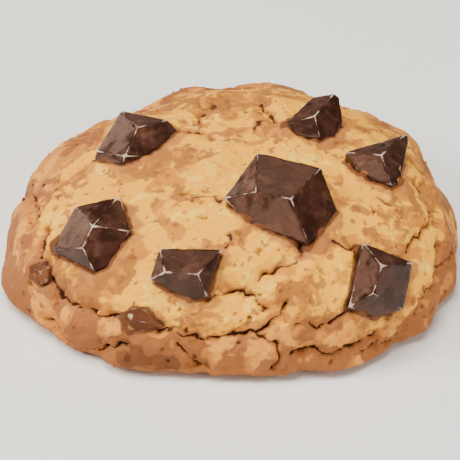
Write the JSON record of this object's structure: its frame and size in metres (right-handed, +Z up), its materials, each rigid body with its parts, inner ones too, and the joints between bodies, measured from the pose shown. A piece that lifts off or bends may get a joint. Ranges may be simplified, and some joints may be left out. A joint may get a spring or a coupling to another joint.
{
  "type": "chocolate chunk cookie",
  "caption": "Thick domed cookie with a rolled, cracked edge, and cut chocolate chunks and small chips set in pockets of the dough.",
  "frame": {"origin": "middle of the flat underside, at the height it rests on", "axes": "+Z up out of the dome, +X to the right and along the longest side, -Y towards the viewer of the picture"},
  "size_m": [0.0892, 0.0845, 0.0306],
  "materials": {
    "baked_dough": "dry baked crumb, golden on top and browner at the edge",
    "dark_chocolate": "glossy cut faces",
    "milk_chocolate": "soft gloss"
  },
  "bodies": {
    "root": {"dough": "baked_dough", "chunk_centre": "dark_chocolate", "chunk_front": "dark_chocolate", "chunk_right": "dark_chocolate", "chunk_left": "dark_chocolate", "chunk_back_left": "dark_chocolate", "chunk_back": "dark_chocolate", "chunk_back_right": "dark_chocolate", "chunk_rear": "dark_chocolate", "chip_front": "milk_chocolate", "chip_left": "milk_chocolate", "chip_rear": "milk_chocolate"}
  },
  "joints": []
}
